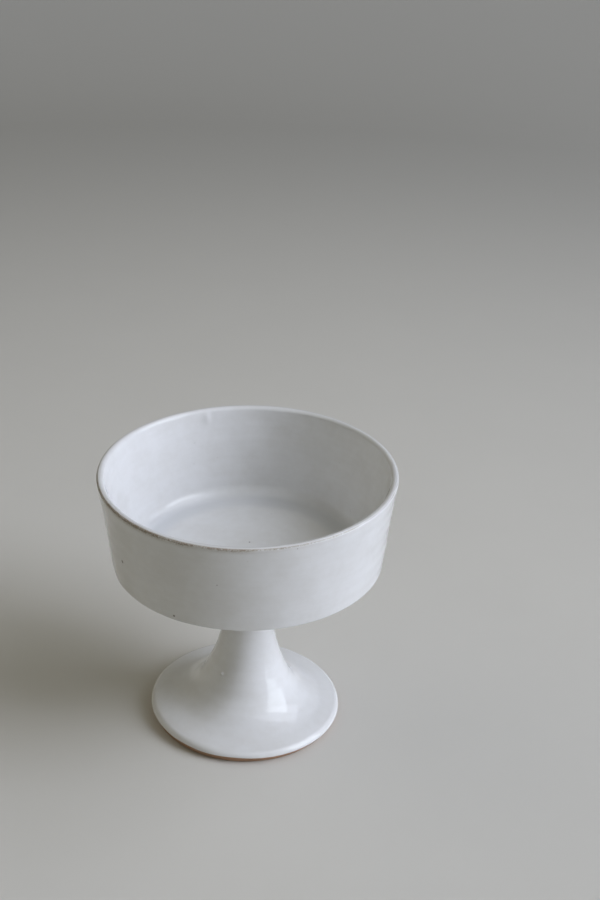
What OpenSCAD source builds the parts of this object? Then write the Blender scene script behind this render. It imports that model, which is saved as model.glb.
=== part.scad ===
// Footed pudding cup: a thrown bowl on a thrown trumpet pedestal, luted together and glazed.
// Millimetres, +Z up. The origin is the middle of the foot ring's resting plane.

/* [Overall] */
// Outside diameter where the line of the wall meets the top of the lip
rim_d = 105.2; // [96:0.2:126.4]
// Height from the resting plane to the lip
cup_h = 101; // [84:0.5:122]
// Widest diameter of the foot
foot_d = 71; // [58:0.5:86]

/* [Bowl] */
// Depth from the lip to the floor inside
bowl_depth = 32.8; // [26:0.2:39.4]
// Outside diameter at the heel, the lower corner of the wall
heel_d = 96.8; // [92:0.2:104]
// Height of the floor inside above the heel
heel_drop = 1.9; // [1:0.1:4]
// Rounding of the heel
heel_round = 1.2; // [0.8:0.1:2]
// Thickness of the lip
lip_t = 2.4; // [2:0.1:3]
// Rounding of the lip's two edges
lip_round = 0.9; // [0.7:0.05:1.2]
// Inside diameter where the lines of wall and floor meet
floor_d = 83.3; // [69:0.1:87]
// Rounding of the cove between wall and floor
cove_round = 4.5; // [2:0.1:8]
// Thickness of the floor over the stem
floor_t = 6.4; // [5:0.1:8]

/* [Pedestal] */
// Diameter of the neck where its line meets the bowl's underside
neck_d = 17.8; // [15:0.2:22]
// Rounding between the neck and the underside
neck_round = 6; // [3:0.1:8]
// Diameter where the line of the neck meets the line of the stem
waist_d = 16.2; // [14:0.2:20]
// Height at which those two lines meet, as a part of the neck's height
waist_part = 0.556; // [0.5:0.002:0.62]
// Radius of the long bend there
waist_round = 70; // [40:1:80]
// Diameter where the line of the stem meets the line of the foot
stem_base_d = 39.2; // [36:0.2:43]
// Height at which those two lines meet
stem_base_h = 7.5; // [6.8:0.1:9]
// Radius of the trumpet flare
flare_round = 18; // [12:0.5:22]
// Height at which the line of the foot meets its edge
foot_edge_h = 4.4; // [4.2:0.1:5.4]
// Rounding of the foot's upper edge
foot_round = 2.3; // [1:0.1:2.6]
// Height of the bare bevel round the foot's lower edge, where the glaze stops
bevel_h = 2.3; // [1.6:0.1:2.4]
// Width of that bevel
bevel_w = 1.1; // [0.8:0.1:2.4]
// Width of the ring that the cup stands on
ring_w = 4.2; // [3:0.1:6]
// Rounding of the ring's outer edge
ring_round = 0.6; // [0.3:0.05:0.7]
// Wall of the hollow pedestal
pedestal_wall = 3.8; // [2.8:0.1:4.6]
// Solid length of the stem below the bowl
stem_solid = 28; // [22:0.5:36]
// Rounding of the hollow's blind end
dome_round = 4.6; // [2:0.1:5]

/* [Joint] */
// Depth of the joint's upper face below the neck
joint_drop = 0.8; // [0.4:0.1:2]
// Thickness of the slip between the two lands
slip_t = 0.8; // [0.4:0.1:1.5]
// Rings scored into each land
score_count = 3; // [2:1:4]
// Width of a scored ring
score_w = 1; // [0.6:0.1:1.4]
// Depth of a scored ring
score_depth = 0.5; // [0.3:0.1:0.8]

/* [Glaze] */
// Thickness of the fired glaze
glaze_t = 0.4; // [0.2:0.05:0.6]
// Direction of the bare line on the lip's outer edge, in degrees above level
bare_dir = 48; // [40:1:55]
// Angle that the bare line takes up on that rounding
bare_angle = 30; // [10:1:40]

/* [Hidden] */
$fn = 180;

clay_colour = [0.50, 0.37, 0.28];
slip_colour = [0.60, 0.47, 0.37];
glaze_colour = [0.92, 0.92, 0.91];

// Largest turn between two points of a round stretch
arc_step = 5;
// Beyond every outline
far = rim_d + cup_h;

floor_z = cup_h - bowl_depth;
heel_z = floor_z - heel_drop;
neck_z = floor_z - floor_t;
joint_z = neck_z - joint_drop;
slip_z = joint_z - slip_t;
hollow_z = neck_z - stem_solid;

heel = [heel_d / 2, heel_z];
neck = [neck_d / 2, neck_z];
waist = [waist_d / 2, neck_z * waist_part];
stem_base = [stem_base_d / 2, stem_base_h];
foot_edge = [foot_d / 2, foot_edge_h];

function unit(v) = v / norm(v);
function left_of(v) = [-v[1], v[0]];
function direction(angle) = [cos(angle), sin(angle)];

// Point where the line through p along u meets the line through q along v
function meet(p, u, q, v) = p + u * cross(q - p, v) / cross(u, v);

function place(c) = [c[0], c[1]];
function before(outline, i) = outline[(i + len(outline) - 1) % len(outline)];
function after(outline, i) = outline[(i + 1) % len(outline)];
function run_in(outline, i) = unit(place(outline[i]) - place(before(outline, i)));
function run_out(outline, i) = unit(place(after(outline, i)) - place(outline[i]));
function turn(outline, i) = sign(cross(run_in(outline, i), run_out(outline, i)));
function half_angle(outline, i) = acos(-run_in(outline, i) * run_out(outline, i)) / 2;

// Length of a side that the rounding at one of its corners takes up
function reach(outline, i) = outline[i][2] / tan(half_angle(outline, i));

// Part of the roundings at both ends of the side that leaves a corner for which it has room
function room(outline, i) =
    let (
        side = norm(place(after(outline, i)) - place(outline[i])),
        taken = reach(outline, i) + reach(outline, (i + 1) % len(outline))
    )
        taken > side ? side / taken : 1;

// The same outline with each rounding limited by the sides that it joins
function fitted(outline) = [
    for (i = [0 : len(outline) - 1])
        let (
            c = outline[i],
            last = (i + len(outline) - 1) % len(outline)
        )
            [c[0], c[1], c[2] * min(room(outline, last), room(outline, i)), c[3]]
];

ring_out_r = foot_d / 2 - bevel_w;
ring_in_r = ring_out_r - ring_w;

BARE = 0;
GLAZED = 1;

// The finished half section without its hollow, anticlockwise: radius, height, rounding, and
// whether the side that leaves the corner carries glaze
cup = fitted([
    [0, 0, 0, BARE],
    [ring_out_r, 0, ring_round, GLAZED],
    [foot_edge[0], bevel_h, 0, GLAZED],
    [foot_edge[0], foot_edge[1], foot_round, GLAZED],
    [stem_base[0], stem_base[1], flare_round, GLAZED],
    [waist[0], waist[1], waist_round, GLAZED],
    [neck[0], neck[1], neck_round, GLAZED],
    [heel[0], heel[1], heel_round, GLAZED],
    [rim_d / 2, cup_h, lip_round, GLAZED],
    [rim_d / 2 - lip_t, cup_h, lip_round, GLAZED],
    [floor_d / 2, floor_z, cove_round, GLAZED],
    [0, floor_z, 0, BARE],
]);
STEM_BASE = 4;
LIP_EDGE = 8;

// The pedestal's hollow runs parallel to the stem and the foot, one wall's thickness inside
// them, and on outwards below the foot. The neck above it is solid
stem_run = unit(waist - stem_base);
foot_run = unit(stem_base - foot_edge);
hollow_stem = stem_base + left_of(stem_run) * pedestal_wall;
hollow_foot = stem_base + left_of(foot_run) * pedestal_wall;
hollow_base = meet(hollow_stem, stem_run, hollow_foot, foot_run);
hollow_top = meet(hollow_stem, stem_run, [0, hollow_z], [1, 0]);
hollow_out = hollow_base - foot_run * foot_d;
hollow = fitted([
    [0, hollow_out[1], 0, BARE],
    [hollow_out[0], hollow_out[1], 0, BARE],
    [hollow_base[0], hollow_base[1], cup[STEM_BASE][2] + pedestal_wall, BARE],
    [hollow_top[0], hollow_z, dome_round, BARE],
    [0, hollow_z, 0, BARE],
]);

// The same outline with its glazed sides moved inwards by a depth
function under_glaze(outline, depth) = [
    for (i = [0 : len(outline) - 1])
        let (
            c = outline[i],
            u = run_in(outline, i),
            v = run_out(outline, i),
            coat_in = before(outline, i)[3],
            coat_out = c[3],
            p = meet(
                place(c) + left_of(u) * coat_in * depth, u,
                place(c) + left_of(v) * coat_out * depth, v
            ),
            round = c[2] - turn(outline, i) * coat_in * coat_out * depth
        )
            [p[0], p[1], c[2] > 0 ? round : 0, coat_out]
];

// Middle of the rounding at a corner
function round_centre(outline, i) =
    place(outline[i])
        + unit(run_out(outline, i) - run_in(outline, i)) * outline[i][2] / sin(half_angle(outline, i));

// Points of the rounding at a corner, or the corner itself where it is sharp
function round_points(outline, i) =
    outline[i][2] == 0 ? [place(outline[i])] :
    let (
        side = turn(outline, i),
        start = -side * left_of(run_in(outline, i)),
        sweep = side * acos(run_in(outline, i) * run_out(outline, i)),
        from = atan2(start[1], start[0]),
        steps = ceil(abs(sweep) / arc_step)
    )
        [for (k = [0 : steps])
            round_centre(outline, i) + outline[i][2] * direction(from + sweep * k / steps)];

module section(outline) {
    polygon([for (i = [0 : len(outline) - 1]) each round_points(outline, i)]);
}

clay = under_glaze(cup, glaze_t);

// The clay of bowl and pedestal together, with the hollow that opens inside the foot ring
module clay_section() {
    difference() {
        section(clay);
        intersection() {
            section(hollow);
            level(0, hollow_z, ring_in_r);
        }
    }
}

// The glaze all round the clay
module coat_section() {
    difference() {
        section(cup);
        section(clay);
    }
}

// The band of the half plane between two heights, out to a radius
module level(from_z, to_z, radius = far) {
    translate([0, from_z])
        square([radius, to_z - from_z]);
}

// Rings scored into one land of the joint: each is rooted in the slip and comes to a point,
// upwards at a heading of 0 and downwards at 180
module score_section(z, heading) {
    for (k = [0 : score_count - 1])
        translate([neck_d / 2 * (k + 0.5) / score_count, z])
            rotate(heading)
                polygon([
                    [-score_w / 2, -slip_t / 2],
                    [score_w / 2, -slip_t / 2],
                    [score_w / 2, 0],
                    [0, score_depth],
                    [-score_w / 2, 0],
                ]);
}

// A line inside the clay that parts the bowl's inside from its outside
lip_middle = round_centre(cup, LIP_EDGE);
wall_middle = [(floor_d + heel_d) / 4, (floor_z + heel_z) / 2];

module inside_zone() {
    polygon([
        [0, wall_middle[1]],
        wall_middle,
        lip_middle,
        lip_middle + far * direction(bare_dir + bare_angle / 2),
        [0, cup_h + far],
    ]);
}

module outside_zone() {
    polygon([
        [0, wall_middle[1]],
        [0, joint_z],
        [far, joint_z],
        lip_middle + far * direction(bare_dir - bare_angle / 2),
        lip_middle,
        wall_middle,
    ]);
}

// Thrown bowl, with its scored land underneath
module bowl_body() {
    color(clay_colour)
        rotate_extrude()
            difference() {
                intersection() {
                    clay_section();
                    level(joint_z, far);
                }
                score_section(joint_z, 0);
            }
}

// Thrown trumpet pedestal, hollow from below, standing on its bare ring
module pedestal_body() {
    color(clay_colour)
        rotate_extrude()
            difference() {
                intersection() {
                    clay_section();
                    level(0, slip_z);
                }
                score_section(slip_z, 180);
            }
}

// Slip that lutes the two together and fills both sets of scored rings
module joint_slip() {
    color(slip_colour)
        rotate_extrude() {
            intersection() {
                clay_section();
                level(slip_z, joint_z);
            }
            score_section(joint_z, 0);
            score_section(slip_z, 180);
        }
}

// Liner glaze: floor, cove, inner wall and the top of the lip
module inside_glaze() {
    color(glaze_colour)
        rotate_extrude()
            intersection() {
                coat_section();
                inside_zone();
            }
}

// Glaze on the bowl's outer wall and underside, from the lip's bare line to the joint
module bowl_glaze() {
    color(glaze_colour)
        rotate_extrude()
            intersection() {
                coat_section();
                outside_zone();
            }
}

// Glaze on the joint, stem and foot, down to the bare bevel
module pedestal_glaze() {
    color(glaze_colour)
        rotate_extrude()
            intersection() {
                coat_section();
                level(bevel_h, joint_z);
            }
}

bowl_body();
pedestal_body();
joint_slip();
inside_glaze();
bowl_glaze();
pedestal_glaze();
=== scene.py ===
"""Footed pudding cup in white-glazed stoneware: a thrown bowl luted onto a thrown trumpet pedestal."""

import math

import bpy
import numpy as np
from mathutils import Matrix, Vector


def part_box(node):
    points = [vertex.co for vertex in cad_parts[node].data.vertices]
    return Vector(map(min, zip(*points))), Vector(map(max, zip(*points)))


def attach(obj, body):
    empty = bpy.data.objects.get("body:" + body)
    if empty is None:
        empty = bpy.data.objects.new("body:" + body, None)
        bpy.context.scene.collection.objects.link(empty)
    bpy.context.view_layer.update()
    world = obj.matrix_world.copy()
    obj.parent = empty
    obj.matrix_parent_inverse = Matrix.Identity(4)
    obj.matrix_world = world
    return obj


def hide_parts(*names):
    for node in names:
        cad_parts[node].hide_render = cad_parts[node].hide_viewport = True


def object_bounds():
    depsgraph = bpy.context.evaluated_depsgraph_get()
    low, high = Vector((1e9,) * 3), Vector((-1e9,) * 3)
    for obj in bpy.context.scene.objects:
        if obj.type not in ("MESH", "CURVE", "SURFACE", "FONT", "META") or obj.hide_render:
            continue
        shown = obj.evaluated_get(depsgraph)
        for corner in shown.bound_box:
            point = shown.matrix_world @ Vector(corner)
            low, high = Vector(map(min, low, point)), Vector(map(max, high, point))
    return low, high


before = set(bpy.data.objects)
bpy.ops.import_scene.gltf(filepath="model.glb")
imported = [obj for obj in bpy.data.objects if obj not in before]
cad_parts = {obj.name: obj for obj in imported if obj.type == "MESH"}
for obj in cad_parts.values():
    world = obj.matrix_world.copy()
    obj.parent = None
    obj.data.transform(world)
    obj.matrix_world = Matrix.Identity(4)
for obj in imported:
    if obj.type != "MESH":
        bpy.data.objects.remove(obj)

CAD_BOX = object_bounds()

bl_info = {
    "name": "Glazed pudding cup",
    "version": (1, 0, 0),
    "blender": (4, 5, 0),
    "location": "3D View > Sidebar > Pudding cup",
    "description": "Builds a footed pudding cup in white-glazed stoneware around its packed frame",
    "category": "Object",
}

MM = 0.001

# Spacing of the points that an outline is measured by
OUTLINE_STEP = 0.02 * MM
# Rows of a turned surface: spacing on straight stretches, and the turn between rows on round ones
SHOWN_ROWS = (0.75 * MM, math.radians(4))
HIDDEN_ROWS = (2.5 * MM, math.radians(10))
# Thickness of the fired glaze, as it is in the solids
GLAZE_COAT = 0.4 * MM
# Depth to which it bites into the clay
BITE = 0.01 * MM
# How far the clay's bare outline runs up under the edge of the foot's glaze
FOOT_LAP = 0.4 * MM
# Edges sharper than this stay crisp when a surface is shaded smooth
CRISP_ANGLE = math.radians(40)


def maker(kind, **fixed):
    """A function that declares a property of one kind by its name, description and default."""

    def declare(name, description, default):
        return kind(name=name, description=description, default=default, **fixed)

    return declare


length = maker(bpy.props.FloatProperty, min=0, precision=5, unit="LENGTH")
share = maker(bpy.props.FloatProperty, min=0, max=1, subtype="FACTOR")
radians = maker(bpy.props.FloatProperty, subtype="ANGLE")
power = maker(bpy.props.FloatProperty, min=0, unit="POWER")
focal = maker(bpy.props.FloatProperty, min=1, unit="CAMERA")
number = maker(bpy.props.IntProperty, min=24)
colour = maker(bpy.props.FloatVectorProperty, min=0, max=1, size=3, subtype="COLOR")
sides = maker(bpy.props.FloatVectorProperty, min=0, size=2, precision=4, unit="LENGTH")
place = maker(bpy.props.FloatVectorProperty, size=3, precision=4, subtype="TRANSLATION")


def angle(name, description, degrees):
    """An angle, given in degrees and kept in radians."""
    return radians(name, description, math.radians(degrees))


class CupShape(bpy.types.PropertyGroup):
    """Half section of the cup. What the frame's boxes hold comes from them."""

    cup_height: length("Height", "From the table to the lip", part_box("inside_glaze")[1].z)
    rim_radius: length("Rim radius", "Where the line of the wall meets the top of the lip", 52.6 * MM)
    lip_thickness: length("Lip thickness", "Thickness of the lip", 2.4 * MM)
    lip_round: length("Lip rounding", "Rounding of the lip's outer edge", 0.9 * MM)
    lip_inner_round: length("Inner lip rounding", "Rounding of the lip's inner edge", 1.5 * MM)
    floor_height: length(
        "Floor height", "Glazed floor above the table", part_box("inside_glaze")[0].z + GLAZE_COAT
    )
    floor_radius: length("Floor radius", "Where the lines of wall and floor meet", 41.65 * MM)
    cove_round: length("Cove rounding", "Rounding between floor and wall", 5.5 * MM)
    heel_radius: length("Heel radius", "Lower corner of the outer wall", 48.4 * MM)
    heel_drop: length("Heel drop", "Depth of the heel below the floor inside", 1.9 * MM)
    heel_round: length("Heel rounding", "Rounding of the heel", 1.2 * MM)
    floor_thickness: length("Floor thickness", "Floor over the stem", 6.4 * MM)
    neck_radius: length("Neck radius", "Where the neck's line meets the underside", 8.9 * MM)
    neck_round: length("Neck rounding", "Rounding between neck and underside", 6 * MM)
    joint_height: length("Joint height", "Where the bowl sits on the slip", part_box("bowl_body")[0].z)
    slip_height: length("Slip height", "Where the slip sits on the pedestal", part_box("pedestal_body")[1].z)
    score_width: length("Score width", "Width of a ring scored into a land", 1 * MM)
    score_depth: length("Score depth", "Depth of a ring scored into a land", 0.5 * MM)
    waist_radius: length("Waist radius", "Where the lines of neck and stem meet", 8.1 * MM)
    waist_height: length("Waist height", "Height of that meeting point", 34.36 * MM)
    waist_round: length("Waist bend", "Radius of the long bend there", 70 * MM)
    stem_base_radius: length("Stem base radius", "Where the lines of stem and foot meet", 19.6 * MM)
    stem_base_height: length("Stem base height", "Height of that meeting point", 7.5 * MM)
    flare_round: length("Flare", "Radius of the trumpet flare", 18 * MM)
    foot_radius: length("Foot radius", "Widest radius of the foot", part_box("pedestal_glaze")[1].x)
    foot_edge_height: length("Foot edge height", "Where the foot's line meets its edge", 4.4 * MM)
    foot_round: length("Foot rounding", "Rounding of the foot's upper edge", 2.3 * MM)
    bevel_height: length("Bevel height", "Where the glaze stops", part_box("pedestal_glaze")[0].z)
    bevel_width: length("Bevel width", "Width of the bare bevel", 1.1 * MM)
    ring_width: length("Ring width", "Width of the ring that the cup stands on", 4.2 * MM)
    ring_round: length("Ring rounding", "Rounding of the ring's edges", 0.6 * MM)
    pedestal_wall: length("Pedestal wall", "Wall of the hollow pedestal", 3.8 * MM)
    stem_solid: length("Solid stem", "Solid length of the stem below the bowl", 28 * MM)
    dome_round: length("Dome rounding", "Rounding of the hollow's blind end", 4.6 * MM)
    glaze_thickness: length("Glaze", "Thickness of the fired glaze", GLAZE_COAT)
    bare_direction: angle("Bare line", "Where the glaze breaks on the lip's outer edge", 48)
    columns: number("Columns", "Points round each ring of a turned mesh", 384)


class CupHand(bpy.types.PropertyGroup):
    """What the potter's hand and the fire leave uneven."""

    bowl_lean: angle("Bowl lean", "Tilt of the bowl on its stem, up on the right", 1.03)
    bowl_shift: length("Bowl shift", "How far the bowl sits to the right", 0.04 * MM)
    stem_lean: angle("Stem lean", "Lean of the pedestal to the right", 0.94)
    oval: length("Oval", "How far the rim is out of round", 0.18 * MM)
    rim_wave: length("Rim wave", "Rise and fall of the rim", 0.12 * MM)
    rim_dip: length("Rim dip", "How far the rim dips on one side and rises on the other", 0.7 * MM)
    rim_dip_side: angle("Rim dip side", "Azimuth at which the rim is lowest", -75.0)
    throwing_depth: length("Throwing rings", "Depth of the spiral that the fingers left", 0.03 * MM)
    throwing_pitch: length("Throwing pitch", "Climb of that spiral in one turn", 5.2 * MM)
    hollow_depth: length("Hollow rings", "Depth of the rings inside the pedestal", 0.14 * MM)
    glaze_swell: length("Glaze swell", "Unevenness of the glaze coat", 0.03 * MM)
    lip_glaze: length("Lip glaze", "Glaze left on the lip's outer edge", 0.1 * MM)
    bare_half: length("Bare half width", "Half width of the bare line where it is widest", 0.05 * MM)
    wall_hollow: length("Wall hollow", "How far the outer wall is hollow between heel and lip", 0.2 * MM)
    dimple_depth: length("Dimples", "Depth of the shallow dents that handling left", 0.05 * MM)


class CupFinish(bpy.types.PropertyGroup):
    """Colours of glaze, clay and slip."""

    glaze: colour("Glaze", "Opaque white glaze", (0.745, 0.748, 0.750))
    glaze_cloud: colour("Glaze cloud", "Where the glaze lies a little thinner", (0.700, 0.698, 0.690))
    # Glaze gathered in the cove, darkened further as painted shade where the floor meets the wall
    glaze_pool_and_shade: colour("Glaze pool", "Where the glaze gathers in the cove", (0.620, 0.632, 0.648))
    # Also tints the painted shade along the heel
    glaze_thin_and_shade: colour("Thin glaze", "Where clay shows through", (0.500, 0.475, 0.430))
    glaze_break: colour("Broken glaze", "Where the glaze is all but gone", (0.300, 0.255, 0.205))
    clay: colour("Clay", "Fired brown stoneware", (0.380, 0.232, 0.145))
    clay_toast: colour("Toasted clay", "Clay beside the edge of the glaze", (0.400, 0.215, 0.115))
    clay_dark: colour("Dark clay", "Iron spots in the clay", (0.075, 0.042, 0.028))
    grog: colour("Grog", "Pale grains in the clay", (0.420, 0.300, 0.210))
    speck: colour("Speck", "Iron speck that has come up through the glaze", (0.105, 0.080, 0.060))
    slip: colour("Slip", "Luting slip", (0.318, 0.187, 0.112))
    gloss: share("Gloss roughness", "Roughness of the glaze", 0.05)


class CupStage(bpy.types.PropertyGroup):
    """Floor, light and camera."""

    floor: colour("Floor", "Pale floor round the cup", (0.630, 0.614, 0.572))
    # The floor's painted falloff of light darkens to this colour further from the cup
    backdrop: colour("Backdrop", "Floor and wall further off", (0.355, 0.347, 0.325))
    key_place: place("Key place", "Middle of the soft key light", (2.125, -0.732, 1.146))
    key_size: sides("Key size", "Width and height of the key light", (1.45, 2.25))
    key_colour: colour("Key colour", "Tint of the key light", (0.810, 0.858, 1.0))
    key_power: power("Key power", "Power of the key light", 63)
    pane_place: place("Pane place", "Middle of the pane that the glaze mirrors", (2.239, -0.600, 0.987))
    pane_size: sides("Pane size", "Width and height of that pane", (1.775, 2.225))
    pane_colour: colour("Pane colour", "Tint of that pane", (0.86, 0.94, 1.0))
    pane_power: power("Pane power", "Power of that pane", 37.5)
    top_place: place("Top place", "Middle of the soft light overhead", (1.539, 0.0, 2.020))
    top_size: sides("Top size", "Width and depth of the light overhead", (2.25, 1.75))
    top_colour: colour("Top colour", "Tint of the light overhead", (0.82, 0.87, 1.0))
    top_power: power("Top power", "Power of the light overhead", 20.5)
    fill_place: place("Fill place", "Middle of the large fill light", (-2.100, 0.550, 1.475))
    fill_size: sides("Fill size", "Width and height of the fill light", (2.75, 2.50))
    fill_colour: colour("Fill colour", "Tint of the fill light", (0.98, 0.945, 0.89))
    fill_power: power("Fill power", "Power of the fill light", 12.6)
    room_colour: colour("Room colour", "Tint of the light from all round", (1.0, 0.92, 0.55))
    room_level: share("Room level", "Strength of the light from all round", 0.12)
    ceiling_colour: colour("Ceiling colour", "Tint of the ceiling that the glaze mirrors", (0.92, 0.95, 1.0))
    ceiling_way: place("Ceiling way", "Where that ceiling is brightest, as a direction", (0.2, -0.6, 0.77))
    ceiling_level: share("Ceiling level", "Strength of that ceiling", 1.0)
    camera_place: place("Camera place", "Where the camera stands", (0.0, -0.43217, 0.32981))
    camera_pitch: angle("Camera pitch", "How far the camera looks down", 27.02)
    camera_yaw: angle("Camera yaw", "How far the camera looks to the right", 2.26)
    camera_roll: angle("Camera roll", "Turn of the camera about its own axis", 2.36)
    camera_lens: focal("Lens", "Focal length for a 36 mm frame", 56)


class CupSettings(bpy.types.PropertyGroup):
    """All that a user would change."""

    shape: bpy.props.PointerProperty(type=CupShape)
    hand: bpy.props.PointerProperty(type=CupHand)
    finish: bpy.props.PointerProperty(type=CupFinish)
    stage: bpy.props.PointerProperty(type=CupStage)


def unit(vector):
    """The vector's direction."""
    return vector / np.linalg.norm(vector)


def left_of(vector):
    """The vector turned a quarter to the left."""
    return np.array([-vector[1], vector[0]])


def cross(a, b):
    """Sine of the turn to the left from a to b, times both lengths."""
    return a[0] * b[1] - a[1] * b[0]


def meet(point, run, other, other_run):
    """Where the line through point along run meets the line through other along other_run."""
    return point + run * cross(other - point, other_run) / cross(run, other_run)


def rounded_line(corners):
    """Points of a line through corners of (radius, height, rounding), with an arc at each rounding."""
    places = [np.array(corner[:2]) for corner in corners]
    points = [places[0]]
    for before, here, after, corner in zip(places, places[1:], places[2:], corners[1:-1]):
        rounding = corner[2]
        run_in = unit(here - before)
        run_out = unit(after - here)
        turn = math.atan2(cross(run_in, run_out), run_in @ run_out)
        if rounding == 0 or turn == 0:
            points.append(here)
            continue
        start = here - run_in * rounding * math.tan(abs(turn) / 2)
        centre = start + left_of(run_in) * math.copysign(rounding, turn)
        steps = math.ceil(abs(turn) * rounding / OUTLINE_STEP) + 1
        for bend in np.linspace(0, turn, steps):
            arm = start - centre
            turned = arm * math.cos(bend) + left_of(arm) * math.sin(bend)
            points.append(centre + turned)
    points.append(places[-1])
    return np.array(points)


class Outline:
    """A line in the half section, read by the length along it. Outwards is on its right."""

    def __init__(self, corners):
        points = rounded_line(corners)
        marks = np.concatenate([[0], np.cumsum(np.hypot(*np.diff(points, axis=0).T))])
        self.total = marks[-1]
        self.along = np.linspace(0, self.total, math.ceil(self.total / OUTLINE_STEP) + 1)
        self.radius = np.interp(self.along, marks, points[:, 0])
        self.height = np.interp(self.along, marks, points[:, 1])
        rise = np.gradient(self.height, self.along)
        run = np.gradient(self.radius, self.along)
        size = np.hypot(rise, run)
        self.out_radius = rise / size
        self.out_height = -run / size
        heading = np.unwrap(np.arctan2(rise, run))
        self.bend = np.abs(np.gradient(heading, self.along))

    def first(self, test):
        """Length at which a test on the points first holds."""
        return self.along[np.argmax(test)]

    def at(self, along, out=0.0):
        """Radius and height at lengths along the line, moved outwards."""
        radius, height, out_radius, out_height = (
            np.interp(along, self.along, values)
            for values in (self.radius, self.height, self.out_radius, self.out_height)
        )
        return radius + out_radius * out, height + out_height * out

    def rows(self, start, end, spacing, turn, fine_places=()):
        """Lengths from start to end, closer on bends and round each (place, reach, spacing)."""
        inside = np.linspace(start, end, math.ceil(abs(end - start) / OUTLINE_STEP) + 2)
        density = 1 / spacing + np.interp(inside, self.along, self.bend) / turn
        for middle, reach, fine in fine_places:
            density += np.exp(-(((inside - middle) / reach) ** 2)) / fine
        steps = np.diff(inside) * (density[1:] + density[:-1]) / 2
        count = np.concatenate([[0], np.cumsum(np.abs(steps))])
        return np.interp(np.linspace(0, count[-1], math.ceil(count[-1]) + 1), count, inside)


def smooth(low, high, values):
    """0 below low, 1 above high, with a smooth rise between."""
    x = np.clip((values - low) / (high - low), 0, 1)
    return x * x * (3 - 2 * x)


def bump(distance, reach):
    """1 at no distance, falling to 0 within about twice the reach."""
    return np.exp(-((distance / reach) ** 2))


def more(pair, part):
    """The pair's first number, and a part of its second on top."""
    least, gain = pair
    return least + gain * part


def turn_between(theta, middle):
    """Angle from middle to theta, the short way round."""
    return np.angle(np.exp(1j * (theta - middle)))


def ripple(theta, seed, slowest, fastest):
    """An uneven wave round the cup, mostly from -1 to 1, that closes on itself."""
    draw = np.random.default_rng(seed)
    waves = np.arange(slowest, fastest + 1)
    heights = draw.uniform(0.5, 1, len(waves)) / np.sqrt(waves)
    phases = draw.uniform(0, 2 * math.pi, len(waves))
    total = sum(h * np.cos(n * theta + p) for n, h, p in zip(waves, heights, phases))
    return total / np.sqrt((heights**2).sum())


# Glaze runs below the lip inside: azimuth in degrees, height, half length, half width, thickness
GLAZE_RUNS = (
    (108.9, 98.2 * MM, 1.9 * MM, 0.75 * MM, 0.40 * MM),
    (50.5, 97.8 * MM, 0.9 * MM, 0.70 * MM, 0.36 * MM),
)
# How much gentler a run is on its left side, seen from the middle of the bowl
RUN_SLOPE = 2.2
# A pimple under the glaze of the stem: azimuth in degrees, height, half width, thickness
STEM_PIMPLE = (-131.0, 21.2 * MM, 0.5 * MM, 0.48 * MM)
# Iron specks on the wall: azimuth in degrees, height, radius of the speck
WALL_SPECKS = (
    (-147.8, 79.6 * MM, 0.80 * MM),
    (-119.8, 68.3 * MM, 0.54 * MM),
    (-100.8, 85.4 * MM, 0.23 * MM),
    (-71.8, 99.6 * MM, 0.20 * MM),
)
# One more on the floor: azimuth in degrees, distance from the axis, radius of the speck
FLOOR_SPECK = (86.0, 5.9 * MM, 0.40 * MM)
# Rings scored into each land of the joint
SCORED_RINGS = 3
# Closer rows at the lip's outer edge, as reach and spacing: glaze, back of the glaze, clay
LIP_ROWS = (0.5 * MM, 0.06 * MM)
LIP_BACK_ROWS = (0.6 * MM, 0.1 * MM)
LIP_CLAY_ROWS = (0.6 * MM, 0.06 * MM)
# The lip's inner side faces inwards by this share, and the floor faces up by that one
FACING_IN = 0.7
FACING_UP = 0.999
# Height over the floor at which the cove starts
COVE_HEIGHT = 1.4 * MM
# Glaze on the lip's outer edge: reach of the thinning, where it breaks most, the least break, and how
# uneven the break is, as seed, slowest and fastest wave, size and the share that is everywhere
THIN_REACH = 0.8 * MM
BREAK_SIDE = math.radians(213)
LEAST_BREAK = 0.02
BREAK_RIPPLE = (11, 4, 40)
BREAK_UNEVEN = 0.16
BREAK_SPREAD = 0.4
# Spirals of the throwing rings: pitch in set pitches, start in radians, share
THROWING_SPIRALS = ((1.0, 0.0, 0.6), (2.3, 1.3, 0.8))
# Waves of the glaze's swell: count round the cup, climb in radians a metre, start in radians
SWELL_WAVES = ((3, 90, 0), (2, -140, 2))
# The relief fades in between two radii at the axis, and within a reach of lip, foot and heel
CALM_AXIS = (1 * MM, 6 * MM)
CALM_LIP = 4 * MM
CALM_FOOT = 3 * MM
CALM_HEEL = 2 * MM
# Dents: radii between which they fade in, seed, number of waves, and limits of the draws for each wave
DENT_RADII = (20 * MM, 40 * MM)
DENT_SEED = 7
DENT_WAVES = 9
DENT_COUNTS = (4, 22)
DENT_REACHES = (11 * MM, 32 * MM)
DENT_STARTS = (0, 6)
# Height over which the pedestal's lean gives way to the bowl's
LEAN_BLEND = 17 * MM
# Power of the height with which the rim's unevenness grows, start of its oval, and its waves: count
# round the cup, start in radians, share
RIM_GROWTH = 3
OVAL_START = 0.9
RIM_WAVES = ((2, 0.6, 1.0), (3, 2.1, 0.5))


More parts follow.
